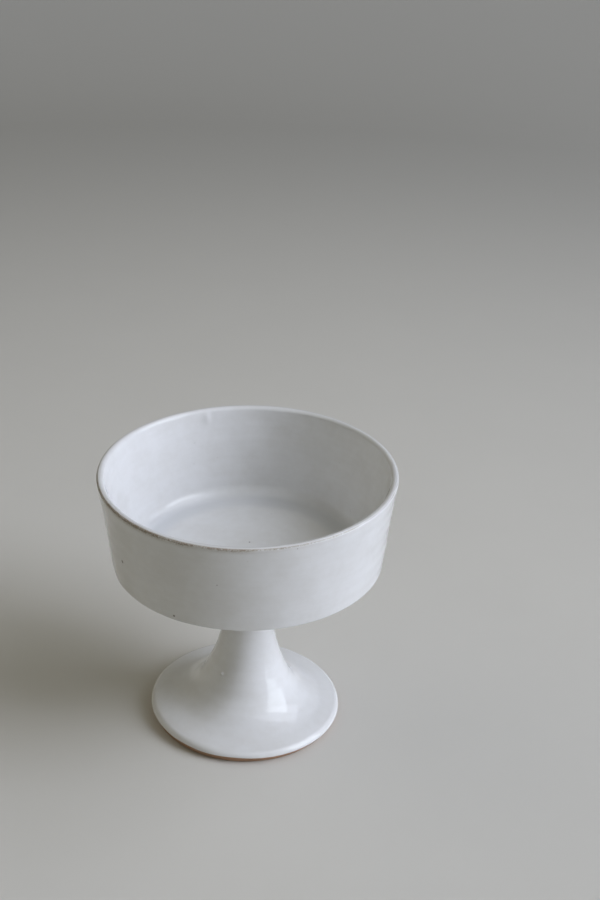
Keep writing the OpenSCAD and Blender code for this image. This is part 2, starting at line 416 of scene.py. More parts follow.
class Cup:
    """The cup's outlines and its uneven surfaces, worked out from the settings."""

    def __init__(self, settings):
        self.shape = settings.shape
        self.hand = settings.hand
        self.finish = settings.finish
        self.theta = np.linspace(0, 2 * math.pi, self.shape.columns, endpoint=False)
        self.glazed = Outline(self.glazed_corners())
        g = self.glazed
        self.joint = g.first(g.height >= self.shape.joint_height)
        self.heel = g.first(g.radius >= self.shape.heel_radius - self.shape.heel_round)
        lip_turn = np.arctan2(g.out_height, g.out_radius) >= self.shape.bare_direction
        self.bare = g.first(lip_turn & (g.along > self.heel))
        self.lip_inside = g.first((g.out_radius < -FACING_IN) & (g.along > self.bare))
        cove = g.first((g.height < self.shape.floor_height + COVE_HEIGHT) & (g.along > self.bare))
        self.floor = g.first((g.out_height > FACING_UP) & (g.along > cove))

    def glazed_corners(self):
        """The finished surface, from the end of the glaze at the foot to the middle of the floor."""
        s = self.shape
        heel_height = s.floor_height - s.heel_drop
        neck_height = s.floor_height - s.floor_thickness
        return [
            (s.foot_radius, s.bevel_height, 0),
            (s.foot_radius, s.foot_edge_height, s.foot_round),
            (s.stem_base_radius, s.stem_base_height, s.flare_round),
            (s.waist_radius, s.waist_height, s.waist_round),
            (s.neck_radius, neck_height, s.neck_round),
            (s.heel_radius, heel_height, s.heel_round),
            (s.rim_radius, s.cup_height, s.lip_round),
            (s.rim_radius - s.lip_thickness, s.cup_height, s.lip_inner_round),
            (s.floor_radius, s.floor_height, s.cove_round),
            (0, s.floor_height, 0),
        ]

    def hollow_corners(self):
        """The bare clay from the hollow's blind end over the ring to the end of the glaze."""
        s = self.shape
        top = s.floor_height - s.floor_thickness - s.stem_solid
        waist = np.array([s.waist_radius, s.waist_height])
        stem_base = np.array([s.stem_base_radius, s.stem_base_height])
        foot_edge = np.array([s.foot_radius, s.foot_edge_height])
        stem_run = unit(waist - stem_base)
        foot_run = unit(stem_base - foot_edge)
        inner_stem = stem_base + left_of(stem_run) * s.pedestal_wall
        inner_foot = stem_base + left_of(foot_run) * s.pedestal_wall
        base = meet(inner_stem, stem_run, inner_foot, foot_run)
        level = np.array([1.0, 0.0])
        upright = np.array([0.0, 1.0])
        end = meet(inner_stem, stem_run, np.array([0, top]), level)
        ring_out = s.foot_radius - s.bevel_width
        ring_in = ring_out - s.ring_width
        step = meet(inner_foot, foot_run, np.array([ring_in, 0]), upright)
        bevel_low = np.array([ring_out, 0])
        bevel_run = unit(np.array([s.foot_radius, s.bevel_height]) - bevel_low)
        bevel = bevel_low + left_of(bevel_run) * s.glaze_thickness
        low = meet(bevel, bevel_run, np.zeros(2), level)
        high = meet(bevel, bevel_run, np.array([s.foot_radius - s.glaze_thickness, 0]), upright)
        return [
            (0, top, 0),
            (end[0], end[1], s.dome_round),
            (base[0], base[1], s.flare_round + s.pedestal_wall),
            (step[0], step[1], s.ring_round / 2),
            (ring_in, 0, s.ring_round / 2),
            (low[0], 0, s.ring_round),
            (high[0], high[1], s.ring_round / 2),
            (high[0], s.bevel_height + FOOT_LAP, 0),
        ]

    def scored_land(self, height, radius, heading):
        """Radii and heights of a land from the axis out to a radius, with its scored rings."""
        s = self.shape
        points = [(0, height)]
        for k in range(SCORED_RINGS):
            middle = s.neck_radius * (k + 0.5) / SCORED_RINGS
            points.append((middle - s.score_width / 2, height))
            points.append((middle, height + heading * s.score_depth))
            points.append((middle + s.score_width / 2, height))
        return np.array(points + [(radius, height)])

    def spread(self, values):
        """One number for each row, as a row of like numbers round the cup."""
        return np.repeat(np.asarray(values)[:, None], len(self.theta), axis=1)

    def glaze_depth(self, along):
        """Thickness of the glaze, which thins over the lip's outer edge."""
        thinned = (self.shape.glaze_thickness - self.hand.lip_glaze) * bump(along - self.bare, THIN_REACH)
        return self.shape.glaze_thickness - thinned

    def wall_hollow(self, along):
        """How far the outer wall lies inside its straight line, clay and glaze alike."""
        up_wall = np.clip((along - self.heel) / (self.bare - self.heel), 0, 1)
        return self.hand.wall_hollow * 4 * up_wall * (1 - up_wall)

    def break_strength(self, theta):
        """How strongly the glaze breaks on the lip's outer edge, from 0 to 1."""
        strength = (0.5 + 0.5 * np.cos(theta - BREAK_SIDE)) ** 2
        uneven = BREAK_UNEVEN * ripple(theta, *BREAK_RIPPLE) * (BREAK_SPREAD + strength)
        return np.clip(strength + uneven, LEAST_BREAK, 1)

    def bare_width(self, theta):
        """Half width of the bare line round the lip."""
        return self.hand.bare_half * self.break_strength(theta)

    def relief(self, along, theta):
        """How far the glazed surface stands out from its plain outline."""
        h = self.hand
        radius, height = self.glazed.at(along)
        rings = 0
        for pitches, start, part in THROWING_SPIRALS:
            rings = rings + part * np.sin(2 * math.pi * along / (pitches * h.throwing_pitch) - theta + start)
        swell = h.glaze_swell
        for around, climb, start in SWELL_WAVES:
            swell = swell * np.sin(around * theta + along * climb + start)
        calm = smooth(*CALM_AXIS, radius) * smooth(0, CALM_LIP, np.abs(along - self.bare))
        calm = calm * smooth(0, CALM_FOOT, along) * smooth(0, CALM_HEEL, np.abs(along - self.heel))
        dents = h.dimple_depth * self.dimples(along, theta) * smooth(*DENT_RADII, radius)
        out = (h.throwing_depth * rings + swell + dents) * calm - self.wall_hollow(along)
        inside = along > self.bare
        for azimuth, middle, half_length, half_width, thickness in GLAZE_RUNS:
            aside = turn_between(theta, math.radians(azimuth)) * radius
            aside = np.where(aside > 0, aside / RUN_SLOPE, aside)
            below = np.abs(height - middle) / half_length
            out = out + thickness * bump(aside, half_width) * bump(below**2, 1) * inside
        azimuth, middle, half_width, thickness = STEM_PIMPLE
        aside = turn_between(theta, math.radians(azimuth)) * radius
        apart = np.hypot(aside, height - middle)
        return out + thickness * bump(apart, half_width) * (along < self.joint)

    def dimples(self, along, theta):
        """Shallow dents, 11 to 32 mm apart along the outline, mostly from -1 to 1."""
        draw = np.random.default_rng(DENT_SEED)
        total = 0
        for _ in range(DENT_WAVES):
            around = draw.integers(*DENT_COUNTS)
            reach = draw.uniform(*DENT_REACHES)
            heading = draw.choice([-1, 1])
            start = draw.uniform(*DENT_STARTS)
            total = total + np.sin(around * theta + heading * 2 * math.pi * along / reach + start)
        return total / math.sqrt(DENT_WAVES)

    def handmade(self, points):
        """Points moved as the hand left them: bowl and pedestal lean, and the rim isn't quite true."""
        h = self.hand
        s = self.shape
        x, y, z = points.T
        theta = np.arctan2(y, x)
        bowl = smooth(s.joint_height - LEAN_BLEND, s.joint_height, z)
        foot = (1 - bowl) * np.clip(z / s.bevel_height, 0, 1)
        tilt = math.tan(h.bowl_lean) * bowl - math.tan(h.stem_lean) * foot
        stem_shift = math.tan(h.stem_lean) * z * (1 - bowl)
        bowl_shift = (h.bowl_shift - math.tan(h.bowl_lean) * (z - s.joint_height)) * bowl
        up = (z / s.cup_height) ** RIM_GROWTH
        grow = 1 + up * h.oval / s.rim_radius * np.cos(2 * theta - OVAL_START)
        waves = sum(part * np.cos(count * theta + start) for count, start, part in RIM_WAVES)
        wave = up * h.rim_wave * waves * bowl
        side = x * math.cos(h.rim_dip_side) + y * math.sin(h.rim_dip_side)
        dip = up**2 * h.rim_dip * side / s.rim_radius * bowl
        return np.stack([x * grow + stem_shift + bowl_shift, y * grow, z + tilt * x + wave - dip], axis=1)

    def spot(self, azimuth, along):
        """Point on the glazed surface at an azimuth in degrees and a length along the outline."""
        theta = math.radians(azimuth)
        radius, height = self.glazed.at(along, self.relief(along, theta))
        point = np.array([[radius * math.cos(theta), radius * math.sin(theta), height]])
        return Vector(self.handmade(point)[0])


def turned_mesh(cup, name, radius, height, on_axis, fields):
    """An object turned from rows of points, given by the radius and height of each.

    With on_axis, the first and last rows are single points on the axis. Otherwise the rows close
    on themselves. Fields hold one number for each point, and become attributes.
    """
    rows, columns = radius.shape
    flat = np.stack([radius * np.cos(cup.theta), radius * np.sin(cup.theta), height], axis=2)
    index = np.arange(rows * columns).reshape(rows, columns)
    keep = np.ones(rows * columns, bool)
    if on_axis:
        for end in (0, -1):
            keep[index[end][1:]] = False
            index[end] = index[end][0]
    else:
        index = np.vstack([index, index[:1]])
    beside = np.roll(index, -1, axis=1)
    quads = np.stack([index[:-1], beside[:-1], beside[1:], index[1:]], axis=2).reshape(-1, 4)
    renumber = np.cumsum(keep) - 1
    faces = [list(dict.fromkeys(quad)) for quad in renumber[quads].tolist()]
    mesh = bpy.data.meshes.new(name)
    points = cup.handmade(flat.reshape(-1, 3)[keep])
    mesh.from_pydata(points.tolist(), [], faces)
    for label, values in fields.items():
        attribute = mesh.attributes.new(label, "FLOAT", "POINT")
        attribute.data.foreach_set("value", values.reshape(-1)[keep].astype(np.float32))
    mesh.shade_smooth()
    mesh.set_sharp_from_angle(angle=CRISP_ANGLE)
    mesh.update()
    piece = bpy.data.objects.new(name, mesh)
    bpy.context.scene.collection.objects.link(piece)
    return piece


def seat(piece, node, material):
    """Puts a piece in the place of its node, with its finish."""
    piece.data.materials.append(material)
    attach(piece, "root")
    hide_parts(node)


class Link:
    """An output socket that takes part in Python expressions."""

    def __init__(self, graph, socket):
        self.graph = graph
        self.socket = socket

    def __add__(self, other):
        return self.graph.math("ADD", self, other)

    def __sub__(self, other):
        return self.graph.math("SUBTRACT", self, other)

    def __rsub__(self, other):
        return self.graph.math("SUBTRACT", other, self)

    def __mul__(self, other):
        return self.graph.math("MULTIPLY", self, other)

    __radd__ = __add__
    __rmul__ = __mul__


class Graph:
    """The nodes of one material or world, written as expressions."""

    # Places of a Mix node's colour sockets
    MIX_LOW = 6
    MIX_HIGH = 7
    MIX_OUT = 2

    def __init__(self, owner):
        owner.use_nodes = True
        self.owner = owner
        self.tree = owner.node_tree
        self.tree.nodes.clear()

    def node(self, kind, settings=None, sockets=None, output=0):
        """Adds a node: its settings first, then a value or a link for each socket named."""
        made = self.tree.nodes.new(kind)
        for key, value in (settings or {}).items():
            setattr(made, key, value)
        for key, value in (sockets or {}).items():
            if isinstance(value, Link):
                self.tree.links.new(value.socket, made.inputs[key])
            else:
                made.inputs[key].default_value = value
        if made.outputs:
            return Link(self, made.outputs[output])
        return None

    def math(self, operation, *values):
        return self.node("ShaderNodeMath", {"operation": operation}, dict(enumerate(values)))

    def rise(self, value, low, high):
        """0 below low, 1 above high, smooth between."""
        sockets = {"Value": value, "From Min": low, "From Max": high}
        return self.node("ShaderNodeMapRange", {"interpolation_type": "SMOOTHSTEP"}, sockets)

    def mix(self, factor, low, high):
        """Colour from low at a factor of 0 to high at 1."""
        sockets = {"Factor": factor, self.MIX_LOW: low, self.MIX_HIGH: high}
        return self.node("ShaderNodeMix", {"data_type": "RGBA"}, sockets, self.MIX_OUT)

    def place(self):
        return self.node("ShaderNodeTexCoord", output="Object")

    def field(self, name):
        """A number that the mesh holds for each of its points."""
        return self.node("ShaderNodeAttribute", {"attribute_name": name}, output="Fac")

    def noise(self, place, grain, detail=3.0, roughness=0.5):
        """Cloudy noise with grains of about one size, in metres."""
        sockets = {"Vector": place, "Scale": 1 / grain, "Detail": detail, "Roughness": roughness}
        return self.node("ShaderNodeTexNoise", None, sockets)

    def grains(self, place, spacing, output):
        """Scattered points: their distance in spacings, or a colour drawn for each."""
        sockets = {"Vector": place, "Scale": 1 / spacing}
        return self.node("ShaderNodeTexVoronoi", None, sockets, output)

    def distance(self, place, point):
        return self.node("ShaderNodeVectorMath", {"operation": "DISTANCE"}, {0: place, 1: point}, "Value")

    def relief(self, height, depth):
        """Bumps of a depth in metres."""
        return self.node("ShaderNodeBump", None, {"Height": height, "Distance": depth})

    def part(self, value, span):
        """A smooth rise from the span's first number to its second, times its third."""
        low, high, most = span
        return self.rise(value, low, high) * most

    def swing(self, noise, most):
        """Noise about its own middle, times a number."""
        return (noise - 0.5) * most

    def surface(self, sockets):
        """The material, with one shader all over."""
        shader = self.node("ShaderNodeBsdfPrincipled", None, sockets)
        self.node("ShaderNodeOutputMaterial", None, {"Surface": shader})
        return self.owner


def rgba(values, shade=1.0):
    """A colour with its alpha, darker by a shade."""
    return (*(shade * value for value in values), 1.0)


# Finishes. A texture is a noise's grain and detail, and its roughness if there is a third number. A
# span is where something starts and is full, and its share if there is a third number. A spacing is
# in metres, an edge is in spacings, and a speck's core is a share of its radius.
GLAZE_CLOUD = (12 * MM, 4.0)
GLAZE_MIST = (2.6 * MM, 3.0)
GLAZE_GRAIN = (0.55 * MM, 2.0)
GLAZE_STREAK = (11 * MM, 3.0)
STREAK_SQUASH = (1.0, 1.0, 7.0)
CLOUD_SPAN = (0.4, 0.68, 0.6)
MIST_SPAN = (0.35, 0.65, 0.25)
STREAK_SPAN = (0.4, 0.65, 0.2)
GRAIN_BREAK = 1.6
MIST_BREAK = 0.8
UNEVEN_SPAN = (0.3, 0.62)
TAN_SPAN = (0.2, 0.62)
BROWN_SPAN = (0.58, 0.95)
PEPPER_SPACING = 4.2 * MM
PEPPER_EDGE = (0.03, 0.14)
PEPPER_DRAW = (0.86, 0.9)
PEPPER_SHARE = 0.08
SPECK_RAGGED = 0.3
SPECK_CORE = 0.45
SPECK_SHARE = 0.85
GLOSS_SWING = 0.04
ROUGH_SPAN = (0.3, 0.8, 0.3)
GLAZE_IOR = 1.5
BROAD_PEEL = (5 * MM, 2.0)
FINE_PEEL = (1.7 * MM, 2.0)
FINE_PEEL_SHARE = 0.22
PEEL_GRAIN_SHARE = 0.04
PEEL_DEPTH = 0.02 * MM

CLAY_CLOUD = (9 * MM, 4.0)
CLAY_GRAIN = (0.55 * MM, 3.0, 0.6)
CLAY_SPAN = (0.3, 0.75)
CLAY_SHADE = 0.82
GROG_SPAN = (0.58, 0.72, 0.6)
SPOT_SPACING = 1.3 * MM
SPOT_EDGE = (0.1, 0.22)
SPOT_SHARE = 0.7
PIT_EDGE = (0.1, 0.25)
PIT_SHARE = 0.4
GRAIN_SHARE = 0.7
LINE_SHARE = 0.6
CLAY_DEPTH = 0.12 * MM
CLAY_ROUGHNESS = 0.78
CLAY_SWING = 0.25

SLIP_CLOUD = (3 * MM, 4.0)
SLIP_GRAIN = (0.25 * MM, 2.0)
SLIP_SHADE = 0.8
SLIP_ROUGHNESS = 0.85
SLIP_SWING = 0.2
SLIP_DEPTH = 0.05 * MM


def glaze_material(cup):
    """Opaque white glaze that breaks to brown where it thins, with a few iron specks, and painted shade in
    the cove and along the heel.
    """
    finish = cup.finish
    g = Graph(bpy.data.materials.new("white_glaze"))
    here = g.place()
    cloud = g.noise(here, *GLAZE_CLOUD)
    mist = g.noise(here, *GLAZE_MIST)
    grain = g.noise(here, *GLAZE_GRAIN)
    flat = g.node("ShaderNodeVectorMath", {"operation": "MULTIPLY"}, {0: here, 1: STREAK_SQUASH})
    streak = g.noise(flat, *GLAZE_STREAK)

    veined = g.part(cloud, CLOUD_SPAN) + g.part(mist, MIST_SPAN) + g.part(streak, STREAK_SPAN)
    white = g.mix(veined, rgba(finish.glaze), rgba(finish.glaze_cloud))
    # Glaze gathered in the cove, with painted shade where the floor meets the wall
    pooled_and_shaded = g.mix(g.field("pool"), white, rgba(finish.glaze_pool_and_shade))

    # Thinned glaze at the lip and foot, and painted shade along the heel
    thin = g.field("thin")
    uneven = g.swing(grain, GRAIN_BREAK) + g.swing(mist, MIST_BREAK)
    broken = thin + uneven * g.rise(thin, *UNEVEN_SPAN)
    tan = g.mix(g.rise(broken, *TAN_SPAN), pooled_and_shaded, rgba(finish.glaze_thin_and_shade))
    brown = g.mix(g.rise(broken, *BROWN_SPAN), tan, rgba(finish.glaze_break))

    buried = g.grains(here, PEPPER_SPACING, "Distance")
    drawn = {"Color": g.grains(here, PEPPER_SPACING, "Color")}
    kept = g.rise(g.node("ShaderNodeSeparateColor", None, drawn, "Red"), *PEPPER_DRAW)
    veil = (1 - g.rise(buried, *PEPPER_EDGE)) * kept * PEPPER_SHARE
    specked = g.mix(veil, brown, rgba(finish.speck))

    points = []
    for azimuth, height, size in WALL_SPECKS:
        wall = (cup.glazed.height >= height) & (cup.glazed.along > cup.heel)
        points.append((cup.spot(azimuth, cup.glazed.first(wall)), size))
    azimuth, radius, size = FLOOR_SPECK
    points.append((cup.spot(azimuth, cup.glazed.total - radius), size))
    for point, size in points:
        apart = g.distance(here, point) + g.swing(grain, SPECK_RAGGED) * size
        spot = (1 - g.rise(apart, SPECK_CORE * size, size)) * SPECK_SHARE
        specked = g.mix(spot, specked, rgba(finish.speck))

    peel = g.noise(here, *BROAD_PEEL) + g.noise(here, *FINE_PEEL) * FINE_PEEL_SHARE
    return g.surface(
        {
            "Base Color": specked,
            "Roughness": finish.gloss + g.swing(mist, GLOSS_SWING) + g.part(broken, ROUGH_SPAN),
            "IOR": GLAZE_IOR,
            "Normal": g.relief(peel + grain * PEEL_GRAIN_SHARE, PEEL_DEPTH),
        }
    )


def clay_material(finish, name):
    """Bare fired stoneware: grog, iron spots, turning lines and a toasted edge beside the glaze."""
    g = Graph(bpy.data.materials.new(name))
    here = g.place()
    cloud = g.noise(here, *CLAY_CLOUD)
    grain = g.noise(here, *CLAY_GRAIN)
    body = g.mix(g.rise(cloud, *CLAY_SPAN), rgba(finish.clay), rgba(finish.clay, CLAY_SHADE))
    warm = g.mix(g.field("toast"), body, rgba(finish.clay_toast))
    pale = g.mix(g.part(grain, GROG_SPAN), warm, rgba(finish.grog))
    spots = g.grains(here, SPOT_SPACING, "Distance")
    dark = g.mix((1 - g.rise(spots, *SPOT_EDGE)) * SPOT_SHARE, pale, rgba(finish.clay_dark))
    pits = (1 - g.rise(spots, *PIT_EDGE)) * PIT_SHARE
    height = grain * GRAIN_SHARE + g.field("turning") * LINE_SHARE - pits
    return g.surface(
        {
            "Base Color": dark,
            "Roughness": CLAY_ROUGHNESS + g.swing(grain, CLAY_SWING),
            "Normal": g.relief(height, CLAY_DEPTH),
        }
    )


def slip_material(finish):
    """Luting slip: the same clay, finer."""
    g = Graph(bpy.data.materials.new("luting_slip"))
    here = g.place()
    cloud = g.noise(here, *SLIP_CLOUD)
    grain = g.noise(here, *SLIP_GRAIN)
    return g.surface(
        {
            "Base Color": g.mix(cloud, rgba(finish.slip), rgba(finish.slip, SLIP_SHADE)),
            "Roughness": SLIP_ROUGHNESS + g.swing(grain, SLIP_SWING),
            "Normal": g.relief(grain, SLIP_DEPTH),
        }
    )


class CUP_OT_bowl_clay(bpy.types.Operator):
    """Throw the bowl, which shows as a brown line where the glaze breaks on the lip"""

    bl_idname = "pudding_cup.bowl_clay"
    bl_label = "Bowl clay"

    def execute(self, context):
        cup = Cup(context.scene.pudding_cup)
        g = cup.glazed
        level = cup.shape.joint_height
        joint_radius, _ = g.at(cup.joint, -cup.shape.glaze_thickness)
        land = cup.scored_land(level, joint_radius, 1)
        along = g.rows(cup.joint, g.total, *HIDDEN_ROWS, [(cup.bare, *LIP_CLAY_ROWS)])
        radius, height = g.at(along, -cup.glaze_depth(along) - cup.wall_hollow(along))
        height[0] = level
        radius[-1] = 0
        rows = np.concatenate([land[:-1], np.stack([radius, height], axis=1)])
        plain = np.zeros((len(rows), len(cup.theta)))
        fields = {"toast": plain, "turning": plain}
        piece = turned_mesh(cup, "bowl_clay", *map(cup.spread, rows.T), True, fields)
        seat(piece, "bowl_body", clay_material(cup.finish, "bowl_stoneware"))
        return {"FINISHED"}


class CUP_OT_pedestal_clay(bpy.types.Operator):
    """Throw the hollow pedestal, which stands on its bare ring"""

    bl_idname = "pudding_cup.pedestal_clay"
    bl_label = "Pedestal clay"

    # Height at which the hollow has come down to the foot's ring
    RING_TOUCH = 0.1 * MM
    # Lengths over which the throwing rings fade in below the blind end and out above the foot's ring
    FADE_IN = (2 * MM, 8 * MM)
    FADE_OUT = (1 * MM, 5 * MM)
    # Pitch of those rings in set pitches, and how fast they wander, in radians a metre
    RING_PITCH = 0.9
    RING_WANDER = 400
    # Reach of the toasted clay beside the glaze
    TOAST_REACH = 0.7 * MM
    # Turning lines: spacing, how far they wander, in radians, and the height over which they do
    LINE_SPACING = 0.55 * MM
    LINE_WANDER = 2
    WANDER_HEIGHT = 1.7 * MM

    def execute(self, context):
        cup = Cup(context.scene.pudding_cup)
        shape = cup.shape
        bare = Outline(cup.hollow_corners())
        plain = bare.rows(0, bare.total, *SHOWN_ROWS)
        ring_start = bare.first(bare.height < self.RING_TOUCH)
        inside = smooth(*self.FADE_IN, plain) * smooth(*self.FADE_OUT, ring_start - plain)
        along = cup.spread(plain)
        spiral = 2 * math.pi * along / (self.RING_PITCH * cup.hand.throwing_pitch) + cup.theta
        rings = cup.hand.hollow_depth * np.sin(spiral + np.sin(along * self.RING_WANDER))
        bare_radius, bare_height = bare.at(along, rings * cup.spread(inside))

        slip = cup.glazed.first(cup.glazed.height >= shape.slip_height)
        under_glaze = cup.glazed.rows(2 * FOOT_LAP, slip, *HIDDEN_ROWS)
        glazed = np.stack(cup.glazed.at(under_glaze, -shape.glaze_thickness), axis=1)
        glazed[-1, 1] = shape.slip_height
        land = cup.scored_land(shape.slip_height, glazed[-1, 0], -1)[::-1]

        hidden = np.concatenate([glazed[1:], land[1:]])
        radius = np.vstack([bare_radius, cup.spread(hidden[:, 0])])
        height = np.vstack([bare_height, cup.spread(hidden[:, 1])])
        glaze_end = bare.first((bare.height > shape.bevel_height) & (bare.along > ring_start))
        toast = np.concatenate([bump(plain - glaze_end, self.TOAST_REACH), np.zeros(len(hidden))])
        wander = self.LINE_WANDER * np.sin(height * 2 * math.pi / self.WANDER_HEIGHT)
        turning = np.sin(radius * 2 * math.pi / self.LINE_SPACING + wander)
        fields = {"toast": cup.spread(toast), "turning": turning}
        piece = turned_mesh(cup, "pedestal_clay", radius, height, True, fields)
        seat(piece, "pedestal_body", clay_material(cup.finish, "pedestal_stoneware"))
        return {"FINISHED"}


class CUP_OT_joint_slip(bpy.types.Operator):
    """Lute the bowl and pedestal with slip, which fills both sets of scored rings"""

    bl_idname = "pudding_cup.joint_slip"
    bl_label = "Joint slip"

    # Rows of the disc's edge
    EDGE_ROWS = 5

    def execute(self, context):
        cup = Cup(context.scene.pudding_cup)
        shape = cup.shape
        low = cup.glazed.first(cup.glazed.height >= shape.slip_height)
        along = np.linspace(low, cup.joint, self.EDGE_ROWS)
        edge = np.stack(cup.glazed.at(along, -shape.glaze_thickness), axis=1)
        edge[0, 1] = shape.slip_height
        edge[-1, 1] = shape.joint_height
        under = cup.scored_land(shape.slip_height, edge[0, 0], -1)
        over = cup.scored_land(shape.joint_height, edge[-1, 0], 1)[::-1]
        rows = np.concatenate([under[:-1], edge, over[1:]])
        piece = turned_mesh(cup, "joint_slip_disc", *map(cup.spread, rows.T), True, {})
        seat(piece, "joint_slip", slip_material(cup.finish))
        return {"FINISHED"}


class CUP_OT_glaze_coats(bpy.types.Operator):
    """Dip the cup: a liner coat, a coat outside the bowl and a coat on the pedestal"""

    bl_idname = "pudding_cup.glaze_coats"
    bl_label = "Glaze coats"

    # Radius of a coat's rolled edge, and the length over which its rows follow that edge
    LIP_ROLL = 0.22 * MM
    FOOT_ROLL = 0.32 * MM
    FOLLOW = 2 * MM
    # Closer rows, as reach and spacing
    FOOT_ROWS = (0.5 * MM, 0.08 * MM)
    PIMPLE_ROWS = (0.9 * MM, 0.18 * MM)
    # Where the foot's glaze ends. A pair is the least, and what a ripple or the lip's break adds to it.
    # A ripple is its seed, slowest and fastest wave
    FOOT_EDGE = (0.2 * MM, 0.12 * MM)
    FOOT_EDGE_RIPPLE = (5, 2, 14)
    # Thin glaze: the line on the lip's outer edge with its reach in mm, the fade below it, the lip's
    # top and the foot's edge; and painted shade along the heel, tinted like thinned glaze
    LINE_DROP = 0.5 * MM
    LINE_REACH = (0.26, 0.54)
    LINE_THIN = (0.34, 0.56)
    FADE_REACH = 2.8 * MM
    FADE_THIN = (0.2, 0.34)
    TOP_RISE = 0.3 * MM
    TOP_FALL = (-0.7 * MM, 0.5 * MM)
    TOP_THIN = (0.2, 0.05)
    TOP_RIPPLE = (17, 3, 20)
    FOOT_REACH = 0.7 * MM
    FOOT_THIN = (0.42, 0.1)
    FOOT_RIPPLE = (23, 3, 24)
    HEEL_SHADE_REACH = 0.8 * MM
    HEEL_SHADE = 0.36
    # Glaze gathered in the cove, with painted shade where the floor meets the wall
    POOL_SHADE_REACH = 3.2 * MM
    POOL_SHADE_RADII = (30 * MM, 35.5 * MM)
    POOL_SHADE_STRENGTH = (0.8, 0.2)
    POOL_SHADE_RIPPLE = (31, 2, 9)

    def execute(self, context):
        cup = Cup(context.scene.pudding_cup)
        material = glaze_material(cup)
        self.outer_coat(cup, material)
        self.liner_coat(cup, material)
        self.pedestal_coat(cup, material)
        return {"FINISHED"}

    def fields(self, cup, along):
        """Where the glaze thins, with painted shade along the heel, and where it has gathered, with painted
        shade in the cove.
        """
        theta = np.broadcast_to(cup.theta, along.shape)
        radius, _ = cup.glazed.at(along)
        strength = cup.break_strength(theta)
        below = along - cup.bare + self.LINE_DROP * strength
        line = bump(below, more(self.LINE_REACH, strength) * MM) * more(self.LINE_THIN, strength)
        fade = bump(cup.bare - along, self.FADE_REACH) * (along < cup.bare) * more(self.FADE_THIN, strength)
        top = smooth(cup.bare, cup.bare + self.TOP_RISE, along)
        top = top * smooth(*self.TOP_FALL, cup.lip_inside - along)
        top = top * more(self.TOP_THIN, ripple(theta, *self.TOP_RIPPLE))
        foot = bump(along, self.FOOT_REACH) * more(self.FOOT_THIN, ripple(theta, *self.FOOT_RIPPLE))
        # Painted shade along the heel, tinted like thinned glaze
        heel = bump(along - cup.heel, self.HEEL_SHADE_REACH) * self.HEEL_SHADE
        thin = np.maximum.reduce([line, fade, top, foot, heel])
        # A darker ring at the floor's edge and up the cove: gathered glaze, and painted shade where the
        # floor meets the wall
        pool = bump(np.minimum(along - cup.floor, 0), self.POOL_SHADE_REACH) * smooth(*self.POOL_SHADE_RADII, radius)
        pool = pool * (along > cup.bare) * more(self.POOL_SHADE_STRENGTH, ripple(theta, *self.POOL_SHADE_RIPPLE))
        return {"thin": np.clip(thin, 0, 1), "pool": np.clip(pool, 0, 1)}

    def face(self, cup, start, end, mark, edge, fine, roll=None):
        """Lengths, radii and heights of a coat's face, whose rows near the mark follow its edge.

        With a roll it is the outer face, rolled over to the clay at the edge. Without one it is the
        face on the clay.
        """
        rows = HIDDEN_ROWS if roll is None else SHOWN_ROWS
        plain = cup.glazed.rows(start, end, *rows, fine)
        follow = smooth(0, 1, 1 - np.abs(plain - mark) / self.FOLLOW)
        along = cup.spread(plain) + cup.spread(follow) * (edge - mark)
        bed = cup.glaze_depth(along) + cup.wall_hollow(along) + BITE
        if roll is None:
            return along, *cup.glazed.at(along, -bed)
        heading = 1 if mark == start else -1
        risen = np.sqrt(1 - np.clip(1 - heading * (along - edge) / roll, 0, 1) ** 2)
        out = cup.relief(along, np.broadcast_to(cup.theta, along.shape)) * risen - bed * (1 - risen)
        return along, *cup.glazed.at(along, out)

    def coat(self, cup, material, name, node, faces, on_axis):
        """A coat of two faces, in the order in which its rows run."""
        along, radius, height = (np.vstack(parts) for parts in zip(*faces))
        piece = turned_mesh(cup, name, radius, height, on_axis, self.fields(cup, along))
        seat(piece, node, material)

    def outer_coat(self, cup, material):
        """From the joint up to the lip's outer edge, and back along the clay."""
        edge = cup.bare - cup.bare_width(cup.theta)
        fine = [(cup.bare, *LIP_ROWS)]
        back_fine = [(cup.bare, *LIP_BACK_ROWS)]
        shown = self.face(cup, cup.joint, cup.bare, cup.bare, edge, fine, self.LIP_ROLL)
        hidden = self.face(cup, cup.bare, cup.joint, cup.bare, edge, back_fine)
        shown[2][0] = hidden[2][-1] = cup.shape.joint_height
        faces = (shown, [rows[1:] for rows in hidden])
        self.coat(cup, material, "bowl_glaze_coat", "bowl_glaze", faces, False)

    def liner_coat(self, cup, material):
        """From the axis along the clay to the lip's outer edge, and back inside to the axis."""
        edge = cup.bare + cup.bare_width(cup.theta)
        fine = [(cup.bare, *LIP_ROWS)]
        back_fine = [(cup.bare, *LIP_BACK_ROWS)]
        shown = self.face(cup, cup.bare, cup.glazed.total, cup.bare, edge, fine, self.LIP_ROLL)
        hidden = self.face(cup, cup.glazed.total, cup.bare, cup.bare, edge, back_fine)
        shown[1][-1] = hidden[1][0] = 0
        faces = ([rows[:-1] for rows in hidden], shown)
        self.coat(cup, material, "inside_glaze_coat", "inside_glaze", faces, True)

    def pedestal_coat(self, cup, material):
        """From the foot's edge up to the joint, and back along the clay."""
        edge = more(self.FOOT_EDGE, ripple(cup.theta, *self.FOOT_EDGE_RIPPLE))
        pimple = cup.glazed.first(cup.glazed.height >= STEM_PIMPLE[1])
        fine = [(0, *self.FOOT_ROWS), (pimple, *self.PIMPLE_ROWS)]
        shown = self.face(cup, 0, cup.joint, 0, edge, fine, self.FOOT_ROLL)
        hidden = self.face(cup, cup.joint, 0, 0, edge, ())
        shown[2][-1] = hidden[2][0] = cup.shape.joint_height
        faces = (shown, [rows[:-1] for rows in hidden])
        self.coat(cup, material, "pedestal_glaze_coat", "pedestal_glaze", faces, False)


